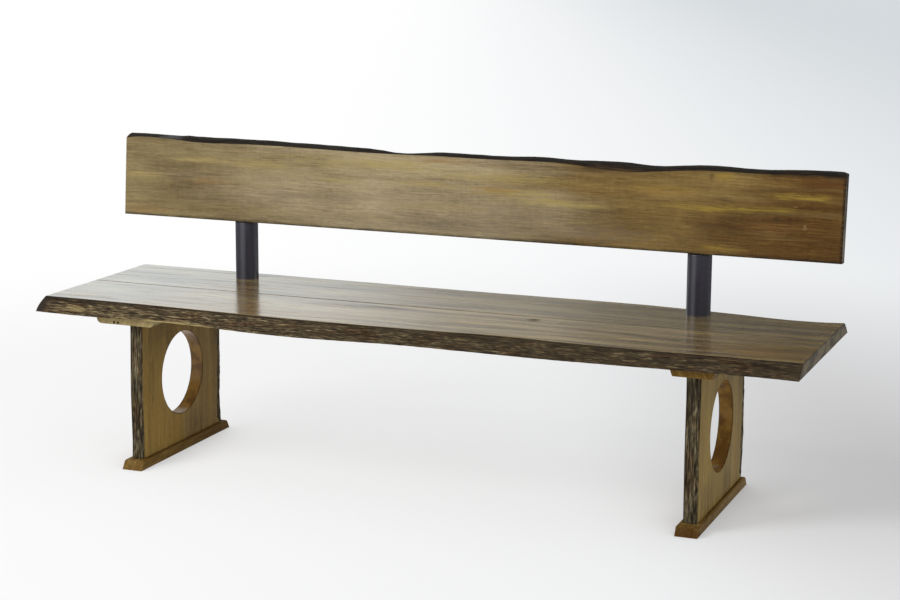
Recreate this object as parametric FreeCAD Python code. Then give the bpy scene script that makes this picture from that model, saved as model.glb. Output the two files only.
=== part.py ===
import FreeCAD, Part
import math
import os

# Live-edge bench with a raked back board on two steel tube posts.
# X runs along the bench, Y from front to back and Z up from the floor, in millimetres.
# The origin lies on the floor under the middle of the seat.

Vector = FreeCAD.Vector
up = Vector(0, 0, 1)
full_turn = 360.0
half_turn = 180.0

# Cuts run this far past what they cut
overrun = 20.0

# Seat: two slabs glued edge to edge, each with a live edge that flares outward towards its underside
bench_length = 2050.0
seat_height = 450.0
seat_thickness = 35.0
seat_front_reach = 256.0
seat_rear_reach = 272.0
seat_glue_line = 5.0
seat_front_flare = 44.0
seat_rear_flare = 38.0
seat_front_wave = 17.0
seat_rear_wave = 42.0

# Rows: place along the bench, then the wave of the upper and of the lower arris
seat_front_shares = [
    (0.00, -0.45, -0.60),
    (0.07, -0.50, -0.10),
    (0.21, -0.10, -0.70),
    (0.28, 0.30, 0.40),
    (0.41, 0.55, 1.00),
    (0.47, 0.45, 0.25),
    (0.56, 0.05, -0.05),
    (0.61, -0.45, 0.20),
    (0.70, 0.00, 0.45),
    (0.80, 0.25, 0.00),
    (1.00, -0.25, -0.20),
]
seat_rear_shares = [
    (0.00, 0.15, 0.10),
    (0.20, 0.10, 0.15),
    (0.40, 0.00, 0.05),
    (0.55, -0.08, 0.10),
    (0.75, -0.05, 0.00),
    (0.86, -0.65, -0.35),
    (0.92, -1.05, -0.60),
    (1.00, -0.50, -0.30),
]
# Rows: depth below the top, then how much of the flare is reached there
seat_profile_shares = [(0.0, 0.0), (0.45, 0.58), (1.0, 1.0)]

# Back board: square-cut slab with a live top edge, leaning back
back_thickness = 32.0
back_height = 216.0
back_rake = 4.8
back_wave = 15.0
back_edge_crown = 3.0
# Rows: place along the bench, then the wave of the top's front and of its rear arris
back_top_shares = [
    (0.00, -0.07, 0.91),
    (0.07, 0.40, 1.00),
    (0.11, 0.00, 0.78),
    (0.18, 0.07, 0.81),
    (0.33, -0.13, 0.51),
    (0.41, -0.20, -0.22),
    (0.46, -0.10, 0.38),
    (0.54, -0.17, 0.27),
    (0.605, -0.07, 0.61),
    (0.65, -0.27, 0.38),
    (0.72, -1.00, 0.38),
    (0.755, -0.67, 0.05),
    (0.83, 0.00, 0.65),
    (0.88, -0.07, 0.35),
    (0.95, 0.20, 0.68),
    (1.00, 0.07, 0.75),
]

# Legs: two upright planks each, with a round hole through their glue line
leg_inset = 264.0
leg_thickness = 37.0
leg_depth = 437.0
leg_centre = -18.5
leg_wave = 4.0
leg_edge_crown = 4.0
hole_wall_above = 63.0
hole_wall_below = 78.0
hole_arris = 2.0
# Rows: place up the leg, then the wave of its front and of its rear edge, left leg first
leg_edge_shares = [
    (0.00, 0.80, 0.60, -0.90, 2.50),
    (0.25, 0.10, -0.90, -0.30, 3.70),
    (0.50, 0.50, -0.20, 0.50, 3.20),
    (0.75, -0.30, -0.70, 0.10, 2.60),
    (1.00, -0.90, -2.20, 0.80, 3.60),
]

# Foot rails under the legs and bearers between legs and seat
rail_length = 510.0
foot_width = 57.0
foot_height = 24.0
foot_end_bevel = 15.0
foot_arris = 3.0
bearer_thickness = 20.0
bearer_bevel = 7.5
left_bearer_outer_reach = 98.0
right_bearer_outer_reach = 62.0
right_bearer_inner_reach = 52.0
bearer_plate_gap = 5.0

# Posts: steel tubes let into the seat, with a base disc, a cap and a bracket welded on
post_inboard = 108.0
post_inset = 68.4
post_height = 161.0
tube_diameter = 63.5
tube_wall = 3.0
socket_depth = 20.0
socket_clearance = 0.25
base_thickness = 10.0
base_clearance = 0.1
cap_thickness = 5.0
bracket_width = 50.0
bracket_thickness = 8.0
bracket_length = 165.0
bracket_corner = 12.0
backing_width = 50.0
backing_length = 120.0
backing_thickness = 5.0

# Dowels
dowel_diameter = 10.0
dowel_length = 60.0
dowel_end_gap = 0.5
seat_dowel_count = 8
seat_dowel_margin = 120.0

# Flat-headed screws, coach screws and hex bolts
fit_clearance = 0.1
screw_diameter = 5.0
screw_head_diameter = 9.6
screw_head_height = 3.4
foot_screw_recess = 5.0
leg_bite = 40.0
seat_bite_share = 0.7
coach_diameter = 8.0
coach_head_width = 13.0
coach_head_height = 5.5
coach_bite_share = 0.75
bolt_diameter = 10.0
bolt_head_width = 16.0
bolt_head_height = 6.4
bolt_place_share = 0.55
leg_screw_shares = (-0.38, -0.17, 0.17, 0.38)
bearer_screw_shares = (0.25, 0.78)
bracket_screw_shares = (0.20, 0.52, 0.84)

# Places that follow from the sizes above
half_length = bench_length / 2
seat_underside = seat_height - seat_thickness
leg_top = seat_underside - bearer_thickness
leg_x = half_length - leg_inset
hole_bottom = foot_height + hole_wall_below
hole_top = leg_top - hole_wall_above
hole_radius = (hole_top - hole_bottom) / 2
sides = (("left", -leg_x), ("right", leg_x))
post_x = leg_x - post_inboard
post_y = seat_rear_reach - post_inset
cap_top = seat_height + post_height
tube_bottom = seat_height - socket_depth
tube_top = cap_top - cap_thickness
tube_bore_radius = tube_diameter / 2 - tube_wall
rail_front = leg_centre - rail_length / 2
rail_rear = leg_centre + rail_length / 2
left_bearer_inner_reach = post_inboard - backing_width / 2 - bearer_plate_gap
bolt_offset = tube_bore_radius * bolt_place_share
bolt_places = (post_y - bolt_offset, post_y + bolt_offset)
bracket_rises = [bracket_length * share for share in bracket_screw_shares]


def block(x0, x1, y0, y1, z0, z1):
    """A box between two corners."""
    return Part.makeBox(x1 - x0, y1 - y0, z1 - z0, Vector(x0, y0, z0))


def prism(points, travel):
    """A straight-sided outline pushed along a vector."""
    return Part.Face(Part.makePolygon(points + points[:1])).extrude(travel)


def turned(profile):
    """A solid turned about Z from (radius, height) points."""
    points = [Vector(radius, 0, height) for radius, height in profile]
    return Part.Face(Part.makePolygon(points + points[:1])).revolve(Vector(), up, full_turn)


def disc(radius, x, y, bottom, top):
    """An upright cylinder."""
    return Part.makeCylinder(radius, top - bottom, Vector(x, y, bottom))


def hexagon(width, height):
    """A hexagon head that stands on the origin, given its width across flats."""
    corner = width / 2 / math.cos(math.pi / 6)
    turns = [math.pi / 3 * step for step in range(6)]
    return prism([Vector(corner * math.cos(a), corner * math.sin(a), 0) for a in turns], up * height)


def live_slab(places, sections):
    """A slab lofted through sections, each a live edge closed by straight lines to two back corners."""
    wires = []
    for edge_points, first_corner, last_corner in sections:
        edge = Part.BSplineCurve()
        edge.interpolate(Points=edge_points, Parameters=places)
        rest = Part.makePolygon([edge_points[-1], last_corner, first_corner, edge_points[0]])
        wires.append(Part.Wire([edge.toShape()] + rest.Edges))
    return Part.makeLoft(wires, True)


def placed(shape, origin, axis, angle):
    """A copy of a shape turned about an axis through its own origin, then set at a point."""
    turn = FreeCAD.Rotation(axis, angle)
    return shape.transformed(FreeCAD.Placement(origin, turn).toMatrix())


def upwards(shape, x, y, z):
    """A fastener whose point looks up."""
    return placed(shape, Vector(x, y, z), Vector(1, 0, 0), half_turn)


def downwards(shape, x, y, z):
    """A fastener whose point looks down."""
    return placed(shape, Vector(x, y, z), Vector(1, 0, 0), 0)


def wood_screw(length):
    """A flat-headed screw, top of the head at the origin and point down."""
    shank = disc(screw_diameter / 2, 0, 0, -length, 0)
    return shank.fuse(disc(screw_head_diameter / 2, 0, 0, -screw_head_height, 0)).removeSplitter()


def wood_screw_hole(length, recess):
    """The bore for a flat-headed screw, with a counterbore that stays open for a recess above its head."""
    shank = disc(screw_diameter / 2 + fit_clearance, 0, 0, -length - fit_clearance, 0)
    head = disc(screw_head_diameter / 2 + fit_clearance, 0, 0, -screw_head_height, recess)
    return shank.fuse(head).removeSplitter()


def coach_screw(length):
    """A hex-headed wood screw, underside of the head at the origin and point down."""
    shank = disc(coach_diameter / 2, 0, 0, -length, 0)
    return shank.fuse(hexagon(coach_head_width, coach_head_height)).removeSplitter()


def coach_screw_hole(length):
    """The bore for a coach screw."""
    return disc(coach_diameter / 2 + fit_clearance, 0, 0, -length - fit_clearance, 0)


def dowel(grow, end_gap):
    """A dowel about the origin along Y, or its bore when grown."""
    half = dowel_length / 2 + end_gap
    pin = disc(dowel_diameter / 2 + grow, 0, 0, -half, half)
    return placed(pin, Vector(), Vector(1, 0, 0), full_turn / 4)


def moved(shape, x, y, z):
    """A copy of a shape moved by an offset."""
    return shape.translated(Vector(x, y, z))


def seat_dowel_places():
    """Centres of the dowels along the seat's glue line."""
    first = seat_dowel_margin - half_length
    pitch = -2 * first / (seat_dowel_count - 1)
    middle = seat_underside + seat_thickness / 2
    return [(first + pitch * step, seat_glue_line, middle) for step in range(seat_dowel_count)]


def leg_dowel_places(x):
    """Centres of the dowels along a leg's glue line: two below the hole and one above."""
    below = hole_wall_below / 3
    heights = [foot_height + below, foot_height + 2 * below, hole_top + hole_wall_above / 2]
    return [(x, leg_centre, height) for height in heights]


def leg_screw_places():
    """Places along Y of the screws into a leg's top and bottom."""
    return [leg_centre + leg_depth * share for share in leg_screw_shares]


def bearer_sides(side):
    """X of a bearer's two long sides, left one first."""
    if side == "left":
        return -leg_x - left_bearer_outer_reach, -leg_x + left_bearer_inner_reach
    return leg_x - right_bearer_inner_reach, leg_x + right_bearer_outer_reach


def seat_screw_places(side, x):
    """Places of the screws from a bearer up into the seat, midway between leg and bearer side."""
    low, high = bearer_sides(side)
    left_place = (low + bearer_bevel + x - leg_thickness / 2) / 2
    right_place = (high - bearer_bevel + x + leg_thickness / 2) / 2
    rows = [rail_front + rail_length * share for share in bearer_screw_shares]
    return [(place, y) for place in (left_place, right_place) for y in rows]


def seat_plank(facing, reach, flare, wave, rows):
    """One seat slab, sawn square at its ends and glue line, facing -1 for front and 1 for rear."""
    places = [place for place, upper, lower in rows]
    span = bench_length + 2 * overrun
    inner = seat_glue_line - facing * overrun
    sections = []
    for depth, out in seat_profile_shares:
        height = seat_height - seat_thickness * depth
        edge_points = []
        for place, upper, lower in rows:
            stand = reach + flare * out + wave * (upper + (lower - upper) * out)
            edge_points.append(Vector(span * place - span / 2, facing * stand, height))
        sections.append((edge_points, Vector(-span / 2, inner, height), Vector(span / 2, inner, height)))
    far = facing * (reach + flare + wave * 2)
    low, high = sorted((seat_glue_line, far))
    sawn = block(-half_length, half_length, low, high, seat_underside - overrun, seat_height + overrun)
    return live_slab(places, sections).common(sawn)


def seat_bores():
    """All dowel and screw bores in the seat, and the post sockets with their bolt holes."""
    bores = [moved(dowel(fit_clearance, dowel_end_gap), *place) for place in seat_dowel_places()]
    screw = wood_screw_hole(bearer_thickness + seat_thickness * seat_bite_share, 0)
    for side, x in sides:
        bores += [upwards(screw, place, y, leg_top) for place, y in seat_screw_places(side, x)]
    socket_radius = tube_diameter / 2 + socket_clearance
    bolt_radius = bolt_diameter / 2 + fit_clearance
    for x in (-post_x, post_x):
        bores.append(disc(socket_radius, x, post_y, tube_bottom, seat_height + overrun))
        bores += [disc(bolt_radius, x, y, seat_underside - overrun, seat_height) for y in bolt_places]
    return bores


def on_board(shape, x, out, rise):
    """A shape set on the board's rear face: out behind it and rise up along it, turned with the rake."""
    lean = math.radians(back_rake)
    y = post_y + out * math.cos(lean) + rise * math.sin(lean)
    z = cap_top - out * math.sin(lean) + rise * math.cos(lean)
    return placed(shape, Vector(x, y, z), Vector(1, 0, 0), -back_rake)


def behind_board(shape, x, rise):
    """A coach screw or its bore with its head on the bracket and its point in the board."""
    flat = placed(shape, Vector(), Vector(1, 0, 0), -full_turn / 4)
    return on_board(flat, x, bracket_thickness, rise)


def bracket_screw_length():
    """Coach screw length under its head."""
    return bracket_thickness + back_thickness * coach_bite_share


def back_board():
    """The back board, its rear lower edge resting on both post caps."""
    places = [place for place, front, rear in back_top_shares]
    span = bench_length + 2 * overrun
    sections = []
    for depth, crown in ((0.0, 0), (0.5, back_edge_crown), (1.0, 0)):
        y = back_thickness * (depth - 1)
        edge_points = []
        for place, front, rear in back_top_shares:
            rise = back_height + back_wave * (front + (rear - front) * depth) + crown
            edge_points.append(Vector(span * place - span / 2, y, rise))
        sections.append((edge_points, Vector(-span / 2, y, 0), Vector(span / 2, y, 0)))
    top = back_height + back_wave * 2 + overrun
    sawn = block(-half_length, half_length, -back_thickness - overrun, overrun, -overrun, top)
    board = on_board(live_slab(places, sections).common(sawn), 0, 0, 0)
    bore = coach_screw_hole(bracket_screw_length())
    return board.cut([behind_board(bore, x, rise) for x in (-post_x, post_x) for rise in bracket_rises])


def bracket(x):
    """A flat bar with rounded upper corners, cut level at its foot to stand on the cap."""
    half = bracket_width / 2
    bar = block(-half, half, 0, bracket_thickness, -overrun, bracket_length)
    corners = [edge for edge in bar.Edges if is_upper_corner(edge)]
    bar = on_board(bar.makeFillet(bracket_corner, corners), x, 0, 0)
    bore = coach_screw_hole(bracket_screw_length())
    below = block(x - half - overrun, x + half + overrun, post_y - overrun * 2, post_y + overrun * 2,
                  cap_top - overrun * 2, cap_top)
    return bar.cut([below] + [behind_board(bore, x, rise) for rise in bracket_rises])


def is_upper_corner(edge):
    """True for the two edges through a bar's thickness at its top."""
    ends = [vertex.Point for vertex in edge.Vertexes]
    return all(point.z > 0 for point in ends) and ends[0].y != ends[1].y


def bracket_screws(x):
    """The coach screws that hold the board on one bracket."""
    screw = coach_screw(bracket_screw_length())
    return Part.makeCompound([behind_board(screw, x, rise) for rise in bracket_rises])


def post_tube(x):
    """A plain round tube, from the floor of its socket to the cap."""
    outer = disc(tube_diameter / 2, x, post_y, tube_bottom, tube_top)
    return outer.cut(disc(tube_bore_radius, x, post_y, tube_bottom - overrun, tube_top + overrun))


def post_cap(x):
    """The disc that closes a tube's top."""
    return disc(tube_diameter / 2, x, post_y, tube_top, cap_top)


def post_base(x):
    """The disc inside a tube's lower end, tapped for two bolts."""
    base = disc(tube_bore_radius - base_clearance, x, post_y, tube_bottom, tube_bottom + base_thickness)
    tapped = bolt_diameter / 2 + fit_clearance
    top = tube_bottom + base_thickness + overrun
    return base.cut([disc(tapped, x, y, tube_bottom - overrun, top) for y in bolt_places])


def backing_plate(x):
    """The steel strip under the seat that spreads a post's two bolts."""
    half = backing_width / 2
    reach = backing_length / 2
    bottom = seat_underside - backing_thickness
    plate = block(x - half, x + half, post_y - reach, post_y + reach, bottom, seat_underside)
    hole = bolt_diameter / 2 + fit_clearance
    return plate.cut([disc(hole, x, y, bottom - overrun, seat_underside + overrun) for y in bolt_places])


def post_bolts(x):
    """Two hex bolts up through the backing plate and the seat into the base disc."""
    bottom = seat_underside - backing_thickness
    bolts = []
    for y in bolt_places:
        shank = disc(bolt_diameter / 2, x, y, bottom, tube_bottom + base_thickness)
        head = moved(hexagon(bolt_head_width, bolt_head_height), x, y, bottom - bolt_head_height)
        bolts.append(shank.fuse(head).removeSplitter())
    return Part.makeCompound(bolts)


def leg_bores(x):
    """The round hole through a leg, eased at both faces, with the leg's dowel and screw bores."""
    half = leg_thickness / 2
    cutter = turned([
        (0, -half - hole_arris),
        (hole_radius + hole_arris * 2, -half - hole_arris),
        (hole_radius, -half + hole_arris),
        (hole_radius, half - hole_arris),
        (hole_radius + hole_arris * 2, half + hole_arris),
        (0, half + hole_arris),
    ])
    bores = [placed(cutter, Vector(x, leg_centre, hole_bottom + hole_radius), Vector(0, 1, 0), full_turn / 4)]
    bores += [moved(dowel(fit_clearance, dowel_end_gap), *place) for place in leg_dowel_places(x)]
    from_foot = wood_screw_hole(foot_screw_length(), 0)
    from_bearer = wood_screw_hole(bearer_thickness + leg_bite, 0)
    for y in leg_screw_places():
        bores.append(upwards(from_foot, x, y, foot_screw_recess))
        bores.append(downwards(from_bearer, x, y, seat_underside))
    return bores


def foot_screw_length():
    """Length of the screws from a foot rail up into its leg."""
    return foot_height - foot_screw_recess + leg_bite


def leg_plank(x, facing, waves):
    """One upright leg plank with a crowned live edge, facing -1 for front and 1 for rear."""
    places = [row[0] for row in leg_edge_shares]
    bottom = foot_height - overrun
    span = leg_top + overrun - bottom
    inner = leg_centre - facing * overrun
    sections = []
    for across, crown in ((-0.5, 0), (0.0, leg_edge_crown), (0.5, 0)):
        plane = x + leg_thickness * across
        edge_points = []
        for place, wave in zip(places, waves):
            y = leg_centre + facing * (leg_depth / 2 + leg_wave * wave + crown)
            edge_points.append(Vector(plane, y, bottom + span * place))
        sections.append((edge_points, Vector(plane, inner, bottom), Vector(plane, inner, bottom + span)))
    low, high = sorted((leg_centre, leg_centre + facing * leg_depth))
    sawn = block(x - leg_thickness, x + leg_thickness, low, high, foot_height, leg_top)
    return live_slab(places, sections).common(sawn).cut(leg_bores(x))


def leg_dowels(x):
    """The dowels in a leg's glue line."""
    return Part.makeCompound([moved(dowel(0, 0), *place) for place in leg_dowel_places(x)])


def bearer(side, x):
    """The flat board between a leg and the seat, its long sides bevelled inward going down."""
    left_side, right_side = bearer_sides(side)
    board = prism([
        Vector(left_side, rail_front, seat_underside),
        Vector(right_side, rail_front, seat_underside),
        Vector(right_side - bearer_bevel, rail_front, leg_top),
        Vector(left_side + bearer_bevel, rail_front, leg_top),
    ], Vector(0, rail_length, 0))
    into_seat = wood_screw_hole(bearer_thickness + seat_thickness * seat_bite_share, overrun)
    into_leg = wood_screw_hole(bearer_thickness + leg_bite, overrun)
    bores = [upwards(into_seat, place, y, leg_top) for place, y in seat_screw_places(side, x)]
    bores += [downwards(into_leg, x, y, seat_underside) for y in leg_screw_places()]
    return board.cut(bores)


def bearer_seat_screws(side, x):
    """The screws from a bearer up into the seat."""
    screw = wood_screw(bearer_thickness + seat_thickness * seat_bite_share)
    return Part.makeCompound([upwards(screw, place, y, leg_top) for place, y in seat_screw_places(side, x)])


def bearer_leg_screws(x):
    """The screws from a bearer down into its leg."""
    screw = wood_screw(bearer_thickness + leg_bite)
    return Part.makeCompound([downwards(screw, x, y, seat_underside) for y in leg_screw_places()])


def foot_rail(x):
    """A foot rail with bevelled ends and eased upper arrises, bored from below for its screws."""
    half = foot_width / 2
    lengthwise = prism([
        Vector(x - half, rail_front, 0),
        Vector(x - half, rail_rear, 0),
        Vector(x - half, rail_rear - foot_end_bevel, foot_height),
        Vector(x - half, rail_front + foot_end_bevel, foot_height),
    ], Vector(foot_width, 0, 0))
    across = prism([
        Vector(x - half, rail_front, 0),
        Vector(x + half, rail_front, 0),
        Vector(x + half, rail_front, foot_height - foot_arris),
        Vector(x + half - foot_arris, rail_front, foot_height),
        Vector(x - half + foot_arris, rail_front, foot_height),
        Vector(x - half, rail_front, foot_height - foot_arris),
    ], Vector(0, rail_length, 0))
    bore = wood_screw_hole(foot_screw_length(), foot_screw_recess + overrun)
    bores = [upwards(bore, x, y, foot_screw_recess) for y in leg_screw_places()]
    return lengthwise.common(across).cut(bores)


def foot_screws(x):
    """The screws from a foot rail up into its leg."""
    screw = wood_screw(foot_screw_length())
    return Part.makeCompound([upwards(screw, x, y, foot_screw_recess) for y in leg_screw_places()])


def side_nodes(side, x):
    """Every piece that the bench has once at each end."""
    post = math.copysign(post_x, x)
    waves = [row[1:3] if side == "left" else row[3:5] for row in leg_edge_shares]
    return {
        "post_tube": post_tube(post),
        "post_cap": post_cap(post),
        "post_base": post_base(post),
        "backing_plate": backing_plate(post),
        "post_bolts": post_bolts(post),
        "back_bracket": bracket(post),
        "bracket_screws": bracket_screws(post),
        "leg_front_plank": leg_plank(x, -1, [pair[0] for pair in waves]),
        "leg_rear_plank": leg_plank(x, 1, [pair[1] for pair in waves]),
        "leg_dowels": leg_dowels(x),
        "bearer": bearer(side, x),
        "bearer_seat_screws": bearer_seat_screws(side, x),
        "bearer_leg_screws": bearer_leg_screws(x),
        "foot_rail": foot_rail(x),
        "foot_screws": foot_screws(x),
    }


front_plank = seat_plank(-1, seat_front_reach, seat_front_flare, seat_front_wave, seat_front_shares)
rear_plank = seat_plank(1, seat_rear_reach, seat_rear_flare, seat_rear_wave, seat_rear_shares)
nodes = {
    "seat_front_plank": front_plank.cut(seat_bores()),
    "seat_rear_plank": rear_plank.cut(seat_bores()),
    "seat_dowels": Part.makeCompound([moved(dowel(0, 0), *place) for place in seat_dowel_places()]),
    "back_board": back_board(),
}
for side, x in sides:
    for name, shape in side_nodes(side, x).items():
        nodes[side + "_" + name] = shape

os.makedirs("parts", exist_ok=True)
for name, shape in nodes.items():
    print(name, len(shape.Solids), "solids", "valid" if shape.isValid() else "INVALID", round(shape.Volume))
    shape.exportStep("parts/" + name + ".step")
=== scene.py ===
import math
from types import SimpleNamespace

import bmesh
import bpy
import numpy as np
from mathutils import Matrix, Quaternion, Vector, noise
from mathutils.bvhtree import BVHTree


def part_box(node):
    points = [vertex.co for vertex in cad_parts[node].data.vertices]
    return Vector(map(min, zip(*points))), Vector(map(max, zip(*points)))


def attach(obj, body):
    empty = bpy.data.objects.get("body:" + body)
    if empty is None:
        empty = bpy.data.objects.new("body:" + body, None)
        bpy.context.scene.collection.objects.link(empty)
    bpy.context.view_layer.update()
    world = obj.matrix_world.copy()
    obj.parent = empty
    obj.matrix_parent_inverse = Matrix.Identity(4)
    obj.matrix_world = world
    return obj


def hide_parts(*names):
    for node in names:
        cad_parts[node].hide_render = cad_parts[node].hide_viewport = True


# Looks of a live-edge bench whose raked back board stands on two black steel posts.
# Each plank is drawn over its own solid, whose borders are found by looking at the solid from
# outside, and gains bark, rounded arrises and grain. Lengths are in metres.

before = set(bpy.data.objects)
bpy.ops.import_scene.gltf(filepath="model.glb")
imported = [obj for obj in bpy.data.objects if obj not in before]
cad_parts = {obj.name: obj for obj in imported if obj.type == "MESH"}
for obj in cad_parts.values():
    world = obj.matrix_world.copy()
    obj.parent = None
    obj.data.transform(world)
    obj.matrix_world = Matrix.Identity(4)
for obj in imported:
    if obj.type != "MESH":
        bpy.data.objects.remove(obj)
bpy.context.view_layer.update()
mm = 0.001
tiny = 1e-12
sides = ("left", "right")

# The photograph's camera
camera_place = Vector((1.9656, -4.9020, 1.5212))
camera_yaw = math.radians(21.434)
camera_pitch = math.radians(11.216)
camera_roll = math.radians(0.361)
camera_lens = 82.36
camera_sensor = 36.0

# Loops of points around a plank lie this far apart along it
section_step = 3.0 * mm
# Steps in from a face's two borders, where the points of a loop lie close. They keep to a share
# of the face's width
border_steps = np.array([0.0, 0.7, 1.6, 3.2, 7.0, 16.0, 34.0]) * mm
border_limit = 0.4
middle_columns = 5
edge_columns = 34
glue_columns = 7
soften_rounds = 2
# Arris of a sawn end, and the share of it that the second loop from the end takes
end_arris = 0.8 * mm
second_share = 0.3
rim_angle = math.radians(16)
hair = 0.1 * mm
far_away = 2.0
clear_angle = math.radians(35)

# The back board leans back, as in the part
back_rake = math.radians(4.8)
# A line beside the dowels of a leg, as a share of its thickness
beside_dowels = 0.2

# Bark: sizes of its strands, flecks and lumps along and around a plank
strand_along = 40.0 * mm
strand_around = 3.2 * mm
strand_bend = 6.0 * mm
bend_along = 90.0 * mm
bend_around = 20.0 * mm
fleck_along = 12.0 * mm
fleck_around = 1.8 * mm
lump_along = 110.0 * mm
lump_around = 45.0 * mm
wave_stretch = 3
bark_thickness = 3.5 * mm
seat_bark_depth = 2.6 * mm
leg_bark_depth = 4.0 * mm
board_bark_depth = 2.0 * mm
lump_depth = 1.0 * mm
wave_depth = 0.25 * mm
# Its relief from 0 to 1: level, shares of strands and flecks, and what lies on the solid's border
relief_level = 0.46
strand_share = 0.36
fleck_share = 0.30
relief_middle = 0.45
# Seeds of its noises, added to a plank's own seed
strand_seed = 7.3
fleck_seed = 13.1
lump_seed = 31.9
wave_seed = 47.1
# Rounds and gain that soften the border between bark and wood
fade_rounds = 4
fade_gain = 1.3
# Smooth dark strips of the bark, and how far they fade
seat_calm = 4.5 * mm
seat_calm_more = 5.0 * mm
seat_calm_from = -0.5
seat_calm_end = 26.0 * mm
seat_end_fade = 9.0 * mm
leg_calm = 5.0 * mm
leg_corner = 10.0 * mm
leg_wrap_columns = 4
calm_fade = 3.0 * mm
calm_relief = 0.22
board_calm = 0.6

# The board's live edge behind its front border: lifts in millimetres at places along X
lift_reach = 10.0 * mm
board_lifts = [
    (-1.03, -1.0), (-0.93, -2.0), (-0.86, 0.0), (-0.84, 2.0), (-0.70, 2.6), (-0.60, 0.0), (-0.51, -3.4),
    (-0.40, -1.4), (-0.34, 1.5), (-0.28, 5.2), (-0.24, 4.5), (-0.20, 0.3), (-0.16, -1.2), (0.00, 0.5),
    (0.05, 1.8), (0.16, 0.0), (0.28, -0.5), (0.36, 2.0), (0.50, 1.0), (0.58, 3.6), (0.70, 2.0),
    (0.78, 2.2), (0.87, 4.0), (0.98, 3.2), (1.013, 2.0), (1.03, -4.0)]
# Dark stain on the board under that edge: depths in millimetres at places along X
band_fade = 8.0 * mm
board_bands = [
    (-1.03, 0.0), (0.30, 0.0), (0.345, 9.0), (0.40, 6.0), (0.44, 0.0), (0.52, 2.0), (0.55, 6.0),
    (0.60, 0.0), (0.78, 1.0), (0.84, 9.0), (0.90, 10.0), (0.94, 11.0), (1.03, 11.0)]
# Dark line on the board along its right end, and wear along its foot
end_line = 8.0 * mm
end_line_fade = 3.0 * mm
foot_wear = 1.4
foot_fade = 6.0 * mm

# The seat's front left corner is drawn out a little, most at its lower edge
tip_length = 9.0 * mm
tip_top_share = 0.5
tip_bulge = 2.0 * mm
tip_reach = 60.0 * mm

# Arrises of the sawn and cut pieces, and worn corners of the bearers and of the rails' rear ends
bearer_arris = 1.2 * mm
rail_arris = 1.5 * mm
bracket_arris = 0.8 * mm
plate_arris = 0.6 * mm
bearer_rounds = {"left": 7.0 * mm, "right": 2.0 * mm}
rail_round = 10.0 * mm
rail_end = 40.0 * mm
# Faces larger than a square of this many arrises get a border that keeps them flat
flat_arrises = 8
border_arrises = 1.5
same_point = 1e-6

# Steel
tube_wall = 3.0 * mm
cap_ease = 1.2 * mm
turned_steps = 72

# Studio: light from all round, a pale floor, and dark cloths that only mirrored rays see
ambient = 0.62
white = (1.0, 1.0, 1.0, 1.0)
bluish = (0.92, 0.965, 1.0, 1.0)
sky_white = (0.93, 0.985, 1.0, 1.0)
cream = (1.0, 0.96, 0.86, 1.0)
cloth_warming = 1.6
floor_grey = (0.85, 0.85, 0.86, 1.0)
floor_half = 60.0
floor_near = 1.3
floor_far = 3.6
near_white_left = 0.70
near_white_right = 0.03
near_white_span = (0.3, 1.35)
# The floor's glow is painted darker towards one side, as a falloff of light, and painted with contact shade
# where ambient occlusion finds the bench close
falloff_way = (0.931, 0.365, 0.0)
falloff_span = (-1.2, 4.8)
painted_falloff_dim = 0.73
contact_reach = 0.16
contact_span = (0.2, 1.0)
painted_contact_shade = 0.55
# Rear cloth: how much it covers at places along X
rear_y = 9.0
rear_low = 0.9
rear_high = 5.0
rear_covers = [
    (-6.2, 0.0), (-4.6, 0.17), (-3.4, 0.58), (-2.8, 0.66), (-2.3, 0.82), (-0.9, 0.96), (9.0, 0.98)]
# Front cloth: how much it covers at turns from the front, in degrees
cloth_radius = 2.4
front_high = 2.4
arc_steps = 33
front_covers = [
    (-120, 0.7), (-64, 0.7), (-48, 0.0), (-20, 0.0), (-2, 0.85), (10, 0.95), (50, 0.75), (120, 0.7)]
# Low cloth behind the bench, which the edges of the posts mirror, over a range of turns in degrees
low_turns = (120, 240)
low_high = 0.42
low_cover = 0.85
# Lamps: place, target, size and power
lamps = {
    "key": ((-2.6, -3.2, 3.4), (0.0, 0.0, 0.4), 2.0, 115.0),
    "fill": ((3.2, -2.4, 2.4), (0.3, 0.0, 0.4), 2.6, 14.0)}

# Where the colours from dark to light grain, and from furrow to crest of bark, lie on their ramps
grain_places = (0.32, 0.44, 0.54, 0.66)
bark_places = (0.18, 0.34, 0.48, 0.64, 0.82)

# Patterns: how many fit in about a metre along, across and through the grain, then detail and roughness of
# their noise, and for some the span of that noise, which lies about a half, over which they come in
patterns = {
    "bend": ((1.9, 5.0, 5.0), 2.0, 0.5),
    "fibre": ((9.0, 300.0, 300.0), 3.0, 0.6),
    "ripple": ((170.0, 26.0, 26.0), 2.0, 0.5),
    "fleck": ((55.0, 240.0, 240.0), 2.0, 0.6),
    "wander": ((2.0, 9.0, 9.0), 3.0, 0.5),
    "ragged": ((22.0, 190.0, 190.0), 3.0, 0.6),
    "streak": ((2.6, 44.0, 44.0), 3.0, 0.6, 0.48, 0.72),
    "pore": ((48.0, 700.0, 700.0), 1.0, 0.5, 0.58, 0.70),
    "blotch": ((20.0, 14.0, 24.0), 3.0, 0.6, 0.42, 0.58),
    "wear": ((26.0, 160.0, 160.0), 2.0, 0.5, 0.25, 0.62),
    "film": ((2.6, 40.0, 40.0), 4.0, 0.7, 0.33, 0.49),
    "thread": ((12.0, 280.0, 280.0), 2.0, 0.5, 0.36, 0.60),
    "glow": ((11.0, 40.0, 40.0), 2.0, 0.5, 0.45, 0.68),
    "cloud": ((14.0, 14.0, 14.0), 3.0, 0.5, 0.35, 0.65)}

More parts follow.
